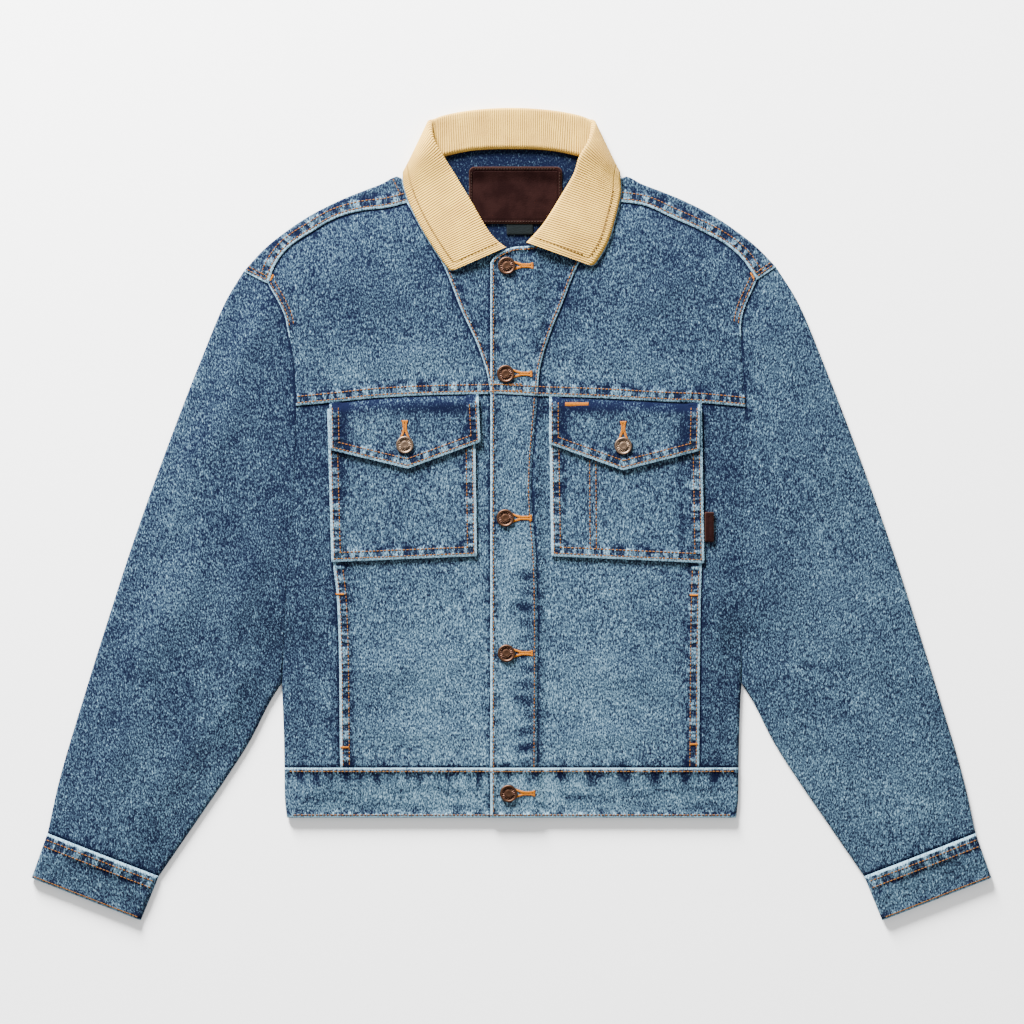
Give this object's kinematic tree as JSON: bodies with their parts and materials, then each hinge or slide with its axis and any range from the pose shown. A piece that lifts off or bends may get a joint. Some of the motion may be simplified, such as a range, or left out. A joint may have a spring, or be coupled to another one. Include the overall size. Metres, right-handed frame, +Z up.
{
  "type": "trucker jacket",
  "caption": "Washed denim trucker jacket with a tan corduroy collar, buttoned and laid flat, with flapped chest pockets, shaped seams, waistband and cuffs.",
  "frame": {"origin": "centre of the bounding box's bottom, on the surface the jacket lies on", "axes": "+X to the wearer's left, +Y towards the collar, +Z up, out of the surface"},
  "size_m": [0.9594, 0.812, 0.0142],
  "materials": {
    "denim": "stone-washed cotton twill with pale worn seam edges",
    "denim_dark": "dark unwashed side of the same twill, on the under collar",
    "corduroy": "tan cotton corduroy with fine ribs",
    "leather": "dark brown leather, semi-matt",
    "tab": "dark woven ribbon, plain",
    "copper": "antique copper plate on brass, worn",
    "brass": "antique brass, worn"
  },
  "bodies": {
    "root": {"back_panel": "denim", "back_yoke": "denim", "button_1": "copper", "button_2": "copper", "button_3": "copper", "button_4": "copper", "button_5": "copper", "left_chest": "denim", "left_cuff": "denim", "left_flap": "denim", "left_flap_button": "brass", "left_front_panel": "denim", "left_lower_band": "denim", "left_pocket": "denim", "left_side_panel": "denim", "left_sleeve_top": "denim", "left_sleeve_under": "denim", "left_upper_band": "denim", "neck_label": "leather", "right_chest": "denim", "right_cuff": "denim", "right_flap": "denim", "right_flap_button": "brass", "right_front_panel": "denim", "right_pocket": "denim", "right_side_panel": "denim", "right_sleeve_top": "denim", "right_sleeve_under": "denim", "right_upper_band": "denim", "side_tab": "leather", "size_tab": "tab", "top_collar": "corduroy", "under_collar": "denim_dark", "waistband_back": "denim", "waistband_left": "denim", "waistband_right": "denim"}
  },
  "joints": []
}
